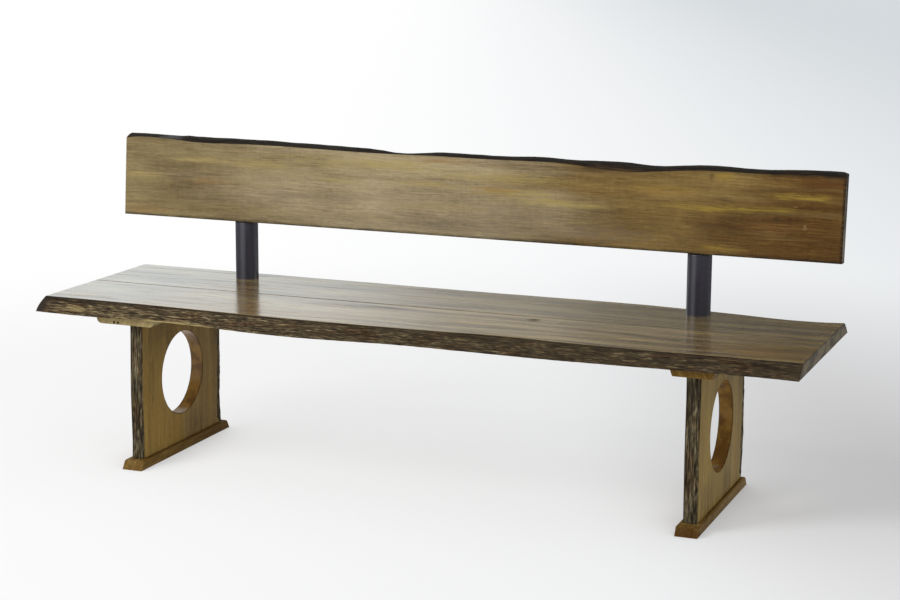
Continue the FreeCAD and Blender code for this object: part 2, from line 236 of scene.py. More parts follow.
# Wood: its tone, the wander of its colour along the plank, and what wear and saw leave
ring_share = 0.60
fibre_share = 0.40
pith_seed = 40
wander_size = 0.8
sawn_share = 0.85
least_wear = 0.4
worn_rough = 0.74
tone_gloss = 0.22
fibre_height = 0.3
pore_depth = 0.25
# Spots: their ragged borders, reach through a plank, and least share between its threads
ragged_size = 1.6
spot_fade = (0.2, 1.15)
spot_through = 0.1
thread_least = 0.25
# Bark's colour and surface
bark_sway = 0.02
tone_base = -0.52
calm_tone = 0.48
calm_share = 0.35
glow_share = 0.45
bark_rough = 0.55
fleck_rough = 0.3
# Steel's and beech's surface
speck_rough = 0.16
cloud_dim = 0.8


def probe(node):
    """A search tree over the faces of a CAD node."""
    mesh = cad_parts[node].data
    return BVHTree.FromPolygons([v.co for v in mesh.vertices], [p.vertices for p in mesh.polygons])


def sections_between(low, high):
    """Places of a plank's loops along it, with those of its end arrises."""
    inner = np.linspace(low + end_arris, high - end_arris, round((high - low) / section_step))
    ends = np.array([0.0, end_arris * second_share])
    return np.concatenate([low + ends, inner, high - ends[::-1]])


def shares_across(width):
    """Places across a face from 0 to 1, close together near its borders."""
    border = border_steps[border_steps < width * border_limit] / width
    middle = np.linspace(border[-1], 1 - border[-1], middle_columns + 2)[1:-1]
    return np.concatenate([border, middle, 1 - border[::-1]])


def blend_rows(first, last, shares):
    """Rows of points between two columns of points, without the two ends."""
    steps = shares[1:-1, None]
    return first[:, None, :] * (1 - steps) + last[:, None, :] * steps


def average(values, axis):
    """Each value with its two neighbours in a closed loop, weighed 1, 2, 1."""
    return (np.roll(values, 1, axis=axis) + values * 2 + np.roll(values, -1, axis=axis)) / 4


def soften(grid):
    """Rounds the arrises of closed loops."""
    for _ in range(soften_rounds):
        grid = average(grid, 1)
    return grid


def fade_round(mask):
    """Softens a mask of loop columns by a few steps."""
    for _ in range(fade_rounds):
        mask = average(mask, 0)
    return np.clip(mask * fade_gain, 0, 1)


def outward(grid):
    """Outward unit normals of closed loops."""
    along = np.gradient(grid, axis=0)
    around = np.roll(grid, -1, axis=1) - np.roll(grid, 1, axis=1)
    normals = np.cross(along, around)
    normals /= np.maximum(np.linalg.norm(normals, axis=2, keepdims=True), tiny)
    middle = grid.mean(axis=1, keepdims=True)
    facing = np.sign(np.sum(normals * (grid - middle), axis=(1, 2)).mean())
    return normals * facing


def loops_round(first, edge, last, shares, back_shares):
    """Closed loops from a first column of points over an edge to a last column, and straight back."""
    return soften(np.concatenate([
        first[:, None], blend_rows(first, edge[:, 0], shares), edge, blend_rows(edge[:, -1], last, shares),
        last[:, None], blend_rows(last, first, back_shares)], axis=1))


def ease_ends(grid):
    """Draws the first and last loops in, so that the sawn ends have an arris."""
    normals = outward(grid)
    for row, like, share in ((0, 2, 1.0), (1, 2, second_share), (-2, -3, second_share), (-1, -3, 1.0)):
        grid[row] -= normals[like] * end_arris * share
    return grid


def rim_of(grid):
    """1 on the arrises of a plank's loops and 0 on its flats."""
    before = grid - np.roll(grid, 1, axis=1)
    after = np.roll(grid, -1, axis=1) - grid
    lengths = np.linalg.norm(before, axis=2) * np.linalg.norm(after, axis=2)
    cosine = np.sum(before * after, axis=2) / np.maximum(lengths, tiny)
    return np.clip(np.arccos(np.clip(cosine, -1, 1)) / rim_angle, 0, 1)


def noise_at(along, around, seed, octaves=1):
    """Smooth noise of about -1 to 1 at a grid of places."""
    places = np.stack([along, around, np.full_like(along, seed)], axis=-1).reshape(-1, 3)
    values = [noise.fractal(place, 1.0, 2.0, octaves) for place in places.tolist()]
    return np.array(values).reshape(along.shape)


def bark_relief(along, around, seed):
    """Relief of bark, from 0 in its furrows to 1 on its worn strands."""
    around = around + noise_at(along / bend_along, around / bend_around, seed) * strand_bend
    strands = noise_at(along / strand_along, around / strand_around, seed + strand_seed, 2)
    flecks = noise_at(along / fleck_along, around / fleck_around, seed + fleck_seed)
    return np.clip(relief_level + strands * strand_share + flecks * fleck_share, 0, 1)


def dress(grid, live, calm, along, seed, depth):
    """Adds bark to a plank's live columns and slow waviness to the rest.

    live and calm go from 0 to 1 over the grid: bark, and its smooth dark strips.
    Returns the loops and the relief.
    """
    steps = np.linalg.norm(np.diff(grid, axis=1, prepend=grid[:, -1:]), axis=2).mean(axis=0)
    around = np.broadcast_to(steps.cumsum(), grid.shape[:2])
    along = np.broadcast_to(along[:, None], grid.shape[:2])
    relief = bark_relief(along, around, seed)
    relief += (calm_relief - relief) * calm
    lumps = noise_at(along / lump_along, around / lump_around, seed + lump_seed, 2)
    waves = noise_at(along / (lump_along * wave_stretch), around / (lump_around * wave_stretch),
                     seed + wave_seed)
    height = live * ((relief - relief_middle) * depth + lumps * lump_depth) + (1 - live) * waves * wave_depth
    return grid + outward(grid) * height[..., None], relief


def close_ends(grid, marks):
    """Adds a loop inside each sawn end, where the end grain starts within the bark."""
    ends = []
    for loop in (grid[0], grid[-1]):
        low, high = loop.min(axis=0), loop.max(axis=0)
        half = np.maximum((high - low) / 2, bark_thickness * 2)
        ends.append((low + high) / 2 + (loop - (low + high) / 2) * (1 - bark_thickness / half))
    grid = np.concatenate([[ends[0]], grid, [ends[1]]])
    blank = np.zeros((1, grid.shape[1]))
    marks = {name: np.concatenate([blank, values, blank]) for name, values in marks.items()}
    marks["cut"] = np.zeros(grid.shape[:2])
    marks["cut"][[0, 1, -2, -1]] = 1
    return grid, marks


def long_plank(grid, first, calm, xs, seed, depth):
    """Dresses a plank along X whose live edge starts at a column, and closes its sawn ends."""
    live = np.zeros(grid.shape[1])
    live[first:first + edge_columns] = 1
    live = np.broadcast_to(fade_round(live), grid.shape[:2])
    rim = rim_of(grid)
    rim[[0, 1, -2, -1]] = 1
    grid, relief = dress(ease_ends(grid), live, calm, xs, seed, depth)
    return close_ends(grid, {"bark": live, "relief": relief, "rim": rim})


def add_marks(mesh, marks):
    """Stores what the materials read at each vertex."""
    for name, values in marks.items():
        flat = np.ravel(values).astype(np.float32)
        kind = "FLOAT" if len(flat) == len(mesh.vertices) else "FLOAT_VECTOR"
        key = "value" if kind == "FLOAT" else "vector"
        mesh.attributes.new(name, kind, "POINT").data.foreach_set(key, flat)


def add_object(name, data):
    """A new object in the scene."""
    thing = bpy.data.objects.new(name, data)
    bpy.context.scene.collection.objects.link(thing)
    return thing


def add_smooth(name, mesh, sharp_degrees):
    """A smooth-shaded object whose edges beyond an angle are sharp."""
    mesh.shade_smooth()
    mesh.set_sharp_from_angle(angle=math.radians(sharp_degrees))
    return add_object(name, mesh)


def mesh_from(name, points, faces, merged=False):
    """A mesh whose faces all look outwards, with points in the same place merged if asked."""
    mesh = bpy.data.meshes.new(name)
    mesh.from_pydata(points, [], faces)
    work = bmesh.new()
    work.from_mesh(mesh)
    if merged:
        bmesh.ops.remove_doubles(work, verts=work.verts, dist=same_point)
    bmesh.ops.recalc_face_normals(work, faces=work.faces)
    work.to_mesh(mesh)
    work.free()
    return mesh


def put_in_place(thing, node, slot, *materials):
    """Puts a piece in the place of its CAD node."""
    thing.data.materials.clear()
    for material in materials:
        thing.data.materials.append(material)
    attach(thing, "root")
    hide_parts(node)


def skin(node, slot, materials, grid, marks):
    """Skins a grid of closed loops, with flat ends, in the place of a CAD node.

    materials are those of the wood and of the bark.
    """
    count, around = grid.shape[:2]
    index = np.arange(count * around).reshape(count, around)
    turned = np.roll(index, -1, axis=1)
    quads = np.stack([index[:-1], turned[:-1], turned[1:], index[1:]], axis=-1).reshape(-1, 4)
    faces = quads.tolist() + [index[0, ::-1].tolist(), index[-1].tolist()]
    mesh = mesh_from(node + "_wood", grid.reshape(-1, 3).tolist(), faces)
    add_marks(mesh, marks)
    put_in_place(add_smooth(node + "_wood", mesh, sharp_degrees=50), node, slot, *materials)
    barked = np.ravel(marks["bark"])[quads].mean(axis=1) > 0.5
    mesh.polygons.foreach_set("material_index", np.append(barked, [0, 0]).astype(np.int32))


def draw_out_tip(grid, low, high):
    """Draws a slab's front left corner out, most at its lower edge."""
    reach = np.clip(1 - (grid[..., 0] - low.x) / tip_reach, 0, 1)
    front = (high.y - grid[..., 1]) / (high.y - low.y)
    drop = (high.z - grid[..., 2]) / (high.z - low.z)
    drawn = tip_length * (tip_top_share + (1 - tip_top_share) * drop) + tip_bulge * np.sin(math.pi * drop)
    grid[..., 0] -= drawn * reach * front


def seat_strip(grid, low, high, xs):
    """Where a slab's bark is smooth and dark: under its top arris and at its left end."""
    more = np.clip((seat_calm_from - xs) / (seat_calm_from - low.x), 0, 1)
    width = seat_calm + seat_calm_more * more
    strip = (width[:, None] - (high.z - grid[0, :, 2])) / calm_fade
    end = (low.x + seat_calm_end - xs) / seat_end_fade
    return np.clip(np.maximum(strip, end[:, None]), 0, 1)


def seat_plank(node, facing, seed, materials):
    """One seat slab with a live edge on its facing side, -1 for front and 1 for rear."""
    low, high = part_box(node)
    tree = probe(node)
    xs = sections_between(low.x, high.x)
    glue = high.y if facing < 0 else low.y
    heights = np.linspace(high.z, low.z, edge_columns)
    edge = np.zeros((len(xs), edge_columns, 3))
    for row, x in enumerate(np.clip(xs, low.x + hair, high.x - hair)):
        for column, z in enumerate(np.clip(heights, low.z + hair, high.z - hair)):
            hit = tree.ray_cast(Vector((x, facing * far_away, z)), Vector((0, -facing, 0)))[0]
            edge[row, column] = (xs[row], hit.y, heights[column])
    glue_top = np.stack([xs, np.full_like(xs, glue), np.full_like(xs, high.z)], axis=1)
    glue_foot = glue_top * (1, 1, 0) + (0, 0, low.z)
    shares = shares_across(abs(edge[:, 0, 1] - glue).mean())
    grid = loops_round(glue_top, edge, glue_foot, shares, np.linspace(0, 1, glue_columns + 2))
    calm = seat_strip(grid, low, high, xs)
    if facing < 0:
        draw_out_tip(grid, low, high)
    grid, marks = long_plank(grid, len(shares) - 1, calm, xs, seed, seat_bark_depth)
    marks["grain"] = grid - (0, 0, high.z)
    skin(node, "seat_wood", materials, grid, marks)


def board_place():
    """The back board's own frame: Y out of its rear face, Z up along it, its foot on the post caps."""
    low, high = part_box("left_post_cap")
    foot = Vector((0, (low.y + high.y) / 2, high.z))
    return Matrix.Translation(foot) @ Matrix.Rotation(-back_rake, 4, "X")


def run_of(stops, xs):
    """Lengths in metres between stops of (place in metres, length in millimetres)."""
    places, lengths = zip(*stops)
    return np.interp(xs, places, lengths) * mm


def stain_board(marks, grid, xs, tops, right_end):
    """Marks the board as worn under its live edge, whose tops lie at xs, at its right end and its foot."""
    depth = np.interp(grid[..., 0], xs, tops) - grid[..., 2]
    stain = (run_of(board_bands, grid[..., 0]) - depth) / band_fade
    line = (grid[..., 0] - right_end + end_line) / end_line_fade
    foot = foot_wear - grid[..., 2] / foot_fade
    worn = np.maximum.reduce([marks["rim"], stain, line * (1 - marks["cut"]), foot])
    marks["rim"] = np.clip(worn, 0, 1)


def back_board(node, seed, materials):
    """The back board, with its live edge on top."""
    low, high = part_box(node)
    tree = probe(node)
    place = board_place()
    to_board = place.inverted()
    turn = place.to_3x3()
    before = place @ Vector((0, -far_away, (high.z - low.z) / 2))
    front = (to_board @ tree.ray_cast(before, turn @ Vector((0, 1, 0)))[0]).y
    xs = sections_between(low.x, high.x)
    outs = np.linspace(front, 0, edge_columns)
    edge = np.zeros((len(xs), edge_columns, 3))
    for row, x in enumerate(np.clip(xs, low.x + hair, high.x - hair)):
        for column, out in enumerate(np.clip(outs, front + hair, -hair)):
            hit = tree.ray_cast(place @ Vector((x, out, far_away)), turn @ Vector((0, 0, -1)))[0]
            edge[row, column] = (xs[row], outs[column], (to_board @ hit).z)
    edge[..., 2] += run_of(board_lifts, xs)[:, None] * np.clip((outs - front) / lift_reach, 0, 1)
    front_foot = np.stack([xs, np.full_like(xs, front), np.zeros_like(xs)], axis=1)
    rear_foot = front_foot * (1, 0, 1)
    shares = shares_across(edge[:, 0, 2].mean())
    grid = loops_round(front_foot, edge, rear_foot, shares, shares_across(-front))
    grid, marks = long_plank(grid, len(shares) - 1, board_calm, xs, seed, board_bark_depth)
    stain_board(marks, grid, xs, edge[:, 0, 2], high.x)
    marks["grain"] = grid[..., [0, 2, 1]]
    grid = grid @ np.array(turn).T + np.array(place.translation)
    skin(node, "back_wood", materials, grid, marks)


def hole_border(tree, x, y, z, way):
    """Height where a leg's glue face ends at the round hole, seen from its foot or its head."""
    return tree.ray_cast(Vector((x, y, z + way * hair)), Vector((0, 0, way)))[0].z


def leg_hole(tree, low, high, glue, facing):
    """Height of the middle of a leg's round hole, and its radius."""
    x = low.x + (high.x - low.x) * beside_dowels
    hole_low = hole_border(tree, x, glue + facing * hair, low.z, 1)
    hole_high = hole_border(tree, x, glue + facing * hair, high.z, -1)
    return (hole_low + hole_high) / 2, (hole_high - hole_low) / 2


def border_places(corners):
    """Evenly spaced places along a leg plank's outer border, as (y, z) pairs."""
    places = [corners[0]]
    for start, end in zip(corners, corners[1:]):
        count = max(2, round(math.dist(start, end) / section_step))
        for step in range(1, count + 1):
            places.append(tuple(np.array(start) + (np.array(end) - np.array(start)) * step / count))
    return places


def leg_edge(tree, low, high, facing, centre, borders, angles):
    """Points around a leg plank's outer border, seen at angles about its hole's centre, a (y, z) pair."""
    across = np.linspace(low.x, high.x, edge_columns)
    outer = np.zeros((len(angles), edge_columns, 3))
    for row, angle in enumerate(angles):
        ray = Vector((0, facing * math.cos(angle), math.sin(angle)))
        for column, x in enumerate(np.clip(across, low.x + hair, high.x - hair)):
            hit = tree.ray_cast(Vector((x, *centre)) + ray * far_away, -ray)[0]
            y, z = borders[row] if hit is None else (hit.y, hit.z)
            outer[row, column] = (across[column], y, z)
    return outer


def leg_live(columns, facing, borders, live_y):
    """Where a leg plank has bark: on its live edge, which on a rear plank wraps a little onto both faces."""
    live = np.zeros(columns)
    live[:edge_columns] = 1
    if facing > 0:
        live[edge_columns:edge_columns + leg_wrap_columns] = 1
        live[-leg_wrap_columns:] = 1
    on_live_side = np.array([abs(y - live_y) < leg_corner for y, z in borders], float)
    return fade_round(live)[None, :] * on_live_side[:, None]


def leg_plank(node, facing, seed, materials):
    """One leg plank: its loops fan out from the round hole to the plank's outer border."""
    low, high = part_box(node)
    tree = probe(node)
    glue, live_y = (high.y, low.y) if facing < 0 else (low.y, high.y)
    centre_z, radius = leg_hole(tree, low, high, glue, facing)
    borders = border_places([(glue, low.z), (live_y, low.z), (live_y, high.z), (glue, high.z)])
    angles = np.array([math.atan2(z - centre_z, facing * (y - glue)) for y, z in borders])
    outer = leg_edge(tree, low, high, facing, (glue, centre_z), borders, angles)
    rim_y = glue + facing * radius * np.cos(angles)
    rim_z = centre_z + radius * np.sin(angles)
    rim_far = np.stack([np.full_like(angles, high.x), rim_y, rim_z], axis=1)
    rim_near = np.stack([np.full_like(angles, low.x), rim_y, rim_z], axis=1)
    shares = shares_across(radius)
    wall = blend_rows(rim_far, rim_near, shares_across(high.x - low.x))
    grid = soften(np.concatenate([
        outer, blend_rows(outer[:, -1], rim_far, shares), rim_far[:, None], wall,
        rim_near[:, None], blend_rows(rim_near, outer[:, 0], shares)], axis=1))
    cut = np.zeros(grid.shape[:2])
    wall_first = edge_columns + len(shares) - 1
    cut[:, wall_first:wall_first + wall.shape[1]] = 1
    live = leg_live(grid.shape[1], facing, borders, live_y)
    calm = np.clip((leg_calm - (grid[0, :, 0] - low.x)) / calm_fade, 0, 1)
    middle_x = (low.x + high.x) / 2
    marks = {"grain": grid[..., [2, 1, 0]] - (0, 0, middle_x), "rim": rim_of(grid), "cut": cut, "bark": live}
    along = outer[:, :, 2].mean(axis=1)
    grid, marks["relief"] = dress(grid, live, calm, along, seed, leg_bark_depth)
    skin(node, "leg_wood", materials, grid, marks)


def sharp_edges(work):
    """The edges where faces meet at a clear angle."""
    return [e for e in work.edges if len(e.link_faces) == 2 and e.calc_face_angle() > clear_angle]


def round_off(work, edges, radius, steps):
    """Rounds edges off."""
    bmesh.ops.bevel(work, geom=edges, offset=radius, segments=steps, profile=0.5, affect="EDGES",
                    clamp_overlap=True)


def lower_long_edges(edge, low, high):
    """A bearer's lower edges along its length."""
    first, last = (v.co for v in edge.verts)
    return max(first.z, last.z) < low.z + hair and abs(first.y - last.y) > (high.y - low.y) / 2


def rear_end_edges(edge, low, high):
    """A rail's edges round its rear end, apart from those on the floor."""
    first, last = (v.co for v in edge.verts)
    return min(first.y, last.y) > high.y - rail_end and max(first.z, last.z) > low.z + hair


def eased_copy(node, suffix, slot, material, width, grain_order, worn=None, radius=0.0):
    """A copy of a CAD node with its sharp arrises rounded, and the worn ones more so."""
    low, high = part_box(node)
    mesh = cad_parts[node].data.copy()
    work = bmesh.new()
    work.from_mesh(mesh)
    bmesh.ops.remove_doubles(work, verts=work.verts, dist=same_point)
    bmesh.ops.dissolve_limit(work, angle_limit=math.radians(1), verts=work.verts, edges=work.edges)
    if worn:
        round_off(work, [e for e in sharp_edges(work) if worn(e, low, high)], radius, steps=7)
    round_off(work, sharp_edges(work), width, steps=3)
    flats = [f for f in work.faces if f.calc_area() > (width * flat_arrises) ** 2]
    bmesh.ops.inset_individual(work, faces=flats, thickness=width * border_arrises)
    rim = [max(e.calc_face_angle(0) for e in v.link_edges) > rim_angle for v in work.verts]
    work.to_mesh(mesh)
    work.free()
    points = np.array([v.co for v in mesh.vertices])
    add_marks(mesh, {"grain": points[:, grain_order], "rim": rim})
    put_in_place(add_smooth(node + suffix, mesh, sharp_degrees=35), node, slot, material)


def turned_piece(node, profile, centre, slot, material):
    """A piece turned about an upright axis from a closed run of (radius, height) points."""
    points = []
    for turn in np.linspace(0, 2 * math.pi, turned_steps, endpoint=False):
        for radius, height in profile:
            points.append((centre[0] + radius * math.cos(turn), centre[1] + radius * math.sin(turn), height))
    index = np.arange(len(points)).reshape(turned_steps, len(profile))
    beside, after = np.roll(index, -1, axis=0), np.roll(index, -1, axis=1)
    both = np.roll(beside, -1, axis=1)
    faces = np.stack([index, beside, both, after], axis=-1).reshape(-1, 4).tolist()
    mesh = mesh_from(node + "_steel", points, faces, merged=True)
    put_in_place(add_smooth(node + "_steel", mesh, sharp_degrees=40), node, slot, material)


def post(side, material):
    """A post's tube and its cap, whose upper edge is eased."""
    low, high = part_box(side + "_post_tube")
    centre = ((low.x + high.x) / 2, (low.y + high.y) / 2)
    radius = (high.x - low.x) / 2
    bore = radius - tube_wall
    tube = [(radius, low.z), (radius, high.z), (bore, high.z), (bore, low.z)]
    turned_piece(side + "_post_tube", tube, centre, "post_steel", material)
    low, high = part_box(side + "_post_cap")
    cap = [(0, low.z), (radius, low.z)]
    for turn in np.linspace(0, math.pi / 2, num=5):
        cap.append((radius - cap_ease * (1 - math.cos(turn)), high.z - cap_ease * (1 - math.sin(turn))))
    cap.append((0, high.z))
    turned_piece(side + "_post_cap", cap, centre, "post_steel", material)


class Shader:
    """Short calls that add linked nodes to a material or world."""

    def __init__(self, holder):
        self.holder = holder
        holder.use_nodes = True
        self.tree = holder.node_tree
        self.tree.nodes.clear()

    def add(self, kind, inputs, **settings):
        node = self.tree.nodes.new("ShaderNode" + kind)
        for name, value in settings.items():
            setattr(node, name, value)
        for key, value in inputs.items():
            if isinstance(value, bpy.types.NodeSocket):
                self.tree.links.new(value, node.inputs[key])
            else:
                node.inputs[key].default_value = value
        return node

    def math(self, operation, *values):
        return self.add("Math", dict(enumerate(values)), operation=operation).outputs[0]

    def between(self, share, low, high):
        return self.math("MULTIPLY_ADD", share, self.math("SUBTRACT", high, low), low)

    def centred(self, noise_value, size, middle):
        """A middle value that a noise about a half moves by up to half a size each way."""
        return self.math("MULTIPLY_ADD", noise_value, size, self.math("SUBTRACT", middle, size / 2))

    def mark(self, name):
        return self.add("Attribute", {}, attribute_name=name).outputs["Fac"]

    def grain(self):
        return self.add("Attribute", {}, attribute_name="grain").outputs["Vector"]

    def object_place(self):
        return self.add("TexCoord", {}).outputs["Object"]

    def split(self, vector):
        return self.add("SeparateXYZ", {0: vector}).outputs

    def scaled(self, vector, factors):
        return self.add("VectorMath", {0: vector, 1: factors}, operation="MULTIPLY").outputs[0]

    def shifted(self, vector, offset):
        return self.add("VectorMath", {0: vector, 1: offset}, operation="ADD").outputs[0]

    def length(self, vector):
        return self.add("VectorMath", {0: vector}, operation="LENGTH").outputs["Value"]

    def noise(self, place, scale, detail=2.0, roughness=0.5):
        place = self.scaled(place, scale)
        inputs = {"Vector": place, "Scale": 1.0, "Detail": detail, "Roughness": roughness}
        return self.add("TexNoise", inputs).outputs[0]

    def pattern(self, place, name, low=0.0, high=1.0):
        """A pattern's noise or, for one with a span, how far it comes in from a low to a high value."""
        scale, detail, roughness, *span = patterns[name]
        value = self.noise(place, scale, detail, roughness)
        return self.smooth(value, *span, low, high) if span else value

    def smooth(self, value, low, high, to_low=0.0, to_high=1.0):
        inputs = {"Value": value, "From Min": low, "From Max": high, "To Min": to_low, "To Max": to_high}
        return self.add("MapRange", inputs, interpolation_type="SMOOTHSTEP").outputs[0]

    def ramp(self, value, stops):
        node = self.add("ValToRGB", {"Fac": value})
        elements = node.color_ramp.elements
        while len(elements) < len(stops):
            elements.new(0.5)
        for element, (place, colour) in zip(elements, stops):
            element.position = place
            element.color = colour
        return node.outputs[0]

    def mix(self, factor, first, second, blend="MIX"):
        inputs = {0: factor, 6: first, 7: second}
        return self.add("Mix", inputs, data_type="RGBA", blend_type=blend).outputs[2]

    def bump(self, height, strength, distance):
        return self.add("Bump", {"Height": height, "Strength": strength, "Distance": distance}).outputs[0]

    def seen(self):
        """1 for the rays that see the background: straight, mirrored or through glass."""
        path = self.add("LightPath", {}).outputs
        straight = self.math("MAXIMUM", path["Is Camera Ray"], path["Is Glossy Ray"])
        return self.math("MAXIMUM", straight, path["Is Transmission Ray"])

    def principled(self, inputs):
        return self.output(self.add("BsdfPrincipled", inputs))

    def output(self, shader, kind="OutputMaterial"):
        self.add(kind, {"Surface": shader.outputs[0]})
        return self.holder


def new_shader(name):
    """A new material to add nodes to."""
    return Shader(bpy.data.materials.new(name))


def tint(red, green, blue):
    """A colour from display levels of 0 to 255."""
    levels = [c / 255 for c in (red, green, blue)]
    return tuple(c / 12.92 if c < 0.04 else ((c + 0.055) / 1.055) ** 2.4 for c in levels) + (1.0,)


def shades(*levels, places=grain_places):
    """Colour stops from dark to light."""
    return [(place, tint(*level)) for place, level in zip(places, levels)]


def bark_shades(*levels):
    """Colour stops from the furrows to the crests of bark."""
    return shades(*levels, places=bark_places)


def inverses(sizes):
    """How many of each size fit in a metre."""
    return tuple(1 / size for size in sizes)


def spot(centre, sizes, colour, share, pitted=False):
    """An oval spot in the grain: its half sizes, and whether it is a pit without lacquer."""
    return SimpleNamespace(centre=centre, sizes=sizes, colour=colour, share=share, pitted=pitted)


def face_spots(*groups):
    """Spots through a plank, in groups of a colour and rows of two places, two half sizes and a share."""
    return [spot((along, across, 0.0), (length, width, spot_through), colour, share)
            for colour, *rows in groups for along, across, length, width, share in rows]


def bent_grain(make, grain, shift, sway):
    """The place in the grain, with streaks that wander across the plank."""
    bend = make.pattern(make.shifted(grain, shift), "bend")
    along, across, through = make.split(grain)
    return make.add("CombineXYZ", {0: along, 1: make.centred(bend, sway, across), 2: through}).outputs[0]


def growth_rings(make, bent, pith, rate, run):
    """Noise that runs in rings about a pith along the plank."""
    along, across, through = make.split(make.shifted(bent, (0.0, pith[0], pith[1])))
    squares = make.math("MULTIPLY_ADD", across, across, make.math("MULTIPLY", through, through))
    radius = make.math("MULTIPLY", make.math("SQRT", squares), rate)
    ring_place = make.add("CombineXYZ", {0: radius, 1: make.math("MULTIPLY", along, run)}).outputs[0]
    ring_place = make.shifted(ring_place, (0.0, 0.0, pith[0] * pith_seed))
    return make.noise(ring_place, (1.0, 1.0, 1.0), detail=4.0, roughness=0.62)


def add_spots(make, colour, grain, place, spots):
    """Mixes spots with ragged borders into a colour. Returns the colour and where the spots are pits."""
    ragged = make.pattern(place, "ragged")
    threads = make.pattern(place, "thread", thread_least)
    pits = 0.0
    for each in spots:
        offset = make.shifted(grain, tuple(-c for c in each.centre))
        distance = make.length(make.scaled(offset, inverses(each.sizes)))
        inside = make.smooth(make.centred(ragged, ragged_size, distance), *spot_fade, each.share, 0.0)
        if each.pitted:
            pits = make.math("MAXIMUM", inside, pits)
        else:
            inside = make.math("MULTIPLY", inside, threads)
        colour = make.mix(inside, colour, each.colour)
    return colour, pits


def wood_tone(make, bent, place, pith, fibres, look):
    """Dark to light grain about a half: rings and fibres, with bands, curl and flecks."""
    wide = make.noise(place, (look.band_run, look.band_rate, look.band_rate), detail=3.0, roughness=0.6)
    ripple = make.pattern(place, "ripple")
    fleck = make.pattern(place, "fleck")
    tone = make.math("MULTIPLY", growth_rings(make, bent, pith, look.rate, look.ring_run), ring_share)
    tone = make.math("MULTIPLY_ADD", fibres, fibre_share, tone)
    for waves, share in ((wide, look.bands), (ripple, look.curl), (fleck, look.flecks)):
        tone = make.centred(waves, share, tone)
    return make.math("MULTIPLY_ADD", tone, look.spread, 0.5 - look.spread / 2)


def wood_colour(make, grain, place, tone, stops, later, streak, look):
    """Colour of the grain. It goes over to later stops along the plank, and has streaks."""
    colour = make.ramp(tone, stops)
    along = make.centred(make.pattern(place, "wander"), wander_size, make.split(grain)[0])
    for start, end, next_stops in later:
        colour = make.mix(make.smooth(along, start, end), colour, make.ramp(tone, next_stops))
    return make.mix(make.pattern(place, "streak", 0.0, look.streak_share), colour, streak)


def wood(name, stops, shift, pith, cut, streak, later=(), spots=(), **changes):
    """Lacquered wood: rings, fibres, curl, pores, streaks, spots, worn arrises, on the rails pale with a
    painted highlight, and sawn faces.

    cut holds the two colours of its sawn faces. changes are those from the plain look.
    """
    look = SimpleNamespace(**{**plain_look, **changes})
    make = new_shader(name)
    grain = make.grain()
    bent = bent_grain(make, grain, shift, look.sway)
    place = make.shifted(bent, shift)
    fibres = make.pattern(place, "fibre")
    tone = wood_tone(make, bent, place, pith, fibres, look)
    colour = wood_colour(make, grain, place, tone, stops, later, streak, look)
    colour, pits = add_spots(make, colour, grain, place, spots)
    pores = make.pattern(place, "pore")
    colour = make.mix(make.math("MULTIPLY", pores, look.pore_share), colour, pore_brown)
    sawn = make.mark("cut")
    sawn_colour = make.mix(make.pattern(place, "blotch"), *cut)
    colour = make.mix(make.math("MULTIPLY", sawn, sawn_share), colour, sawn_colour)
    # Arrises take the rim colour: dark wear, and on the rails a pale wear that also paints a highlight
    arris = make.mark("rim")
    worn = make.pattern(place, "wear", look.rim * least_wear, look.rim)
    colour = make.mix(make.math("MULTIPLY", arris, worn), colour, look.rim_colour)
    bare = make.math("MAXIMUM", make.math("MAXIMUM", sawn, arris), pits)
    film = make.pattern(place, "film", look.coat - look.coat_vary, look.coat)
    film = make.math("MULTIPLY", make.math("SUBTRACT", 1.0, bare), film)
    gloss = make.math("MULTIPLY_ADD", sawn, look.cut_coat, film)
    matt = make.math("MULTIPLY_ADD", tone, -tone_gloss, look.rough + tone_gloss / 2)
    matt = make.between(sawn, matt, look.cut_rough)
    matt = make.between(make.math("MAXIMUM", arris, pits), matt, worn_rough)
    height = make.math("MULTIPLY_ADD", pores, -pore_depth, make.math("MULTIPLY", fibres, fibre_height))
    return make.principled({
        "Base Color": colour, "Roughness": matt, "Specular IOR Level": look.sheen,
        "Normal": make.bump(height, strength=0.3, distance=0.5 * mm),
        "Coat Weight": gloss, "Coat Roughness": look.coat_rough, "Coat IOR": look.coat_ior})


def bark(name, stops, shift, flecks, strands, dim=None, spots=()):
    """Dry bark whose furrows are dark and whose flecks and strands, of given sizes, are worn pale.

    dim says from where to where along the plank it gets calmer and darker, and by how much.
    """
    make = new_shader(name)
    grain = make.grain()
    place = make.shifted(bent_grain(make, grain, shift, bark_sway), shift)
    fleck = make.noise(place, inverses(flecks), detail=3.0, roughness=0.65)
    strand = make.noise(place, inverses(strands))
    tone = tone_base
    for value, share in ((strand, 0.6), (fleck, 0.9), (make.mark("relief"), 0.55)):
        tone = make.math("MULTIPLY_ADD", value, share, tone)
    if dim:
        start, end, loss = dim
        far = make.smooth(make.split(grain)[0], start, end)
        tone = make.between(make.math("MULTIPLY", far, calm_share), tone, calm_tone)
        tone = make.math("MULTIPLY_ADD", far, -loss, tone)
    glow = make.pattern(place, "glow", 0.0, glow_share)
    colour = make.mix(glow, make.ramp(tone, stops), russet, "SOFT_LIGHT")
    colour = add_spots(make, colour, grain, place, spots)[0]
    return make.principled({
        "Base Color": colour, "Roughness": make.math("MULTIPLY_ADD", fleck, fleck_rough, bark_rough),
        "Normal": make.bump(fleck, strength=0.5, distance=0.8 * mm), "Specular IOR Level": 0.1})


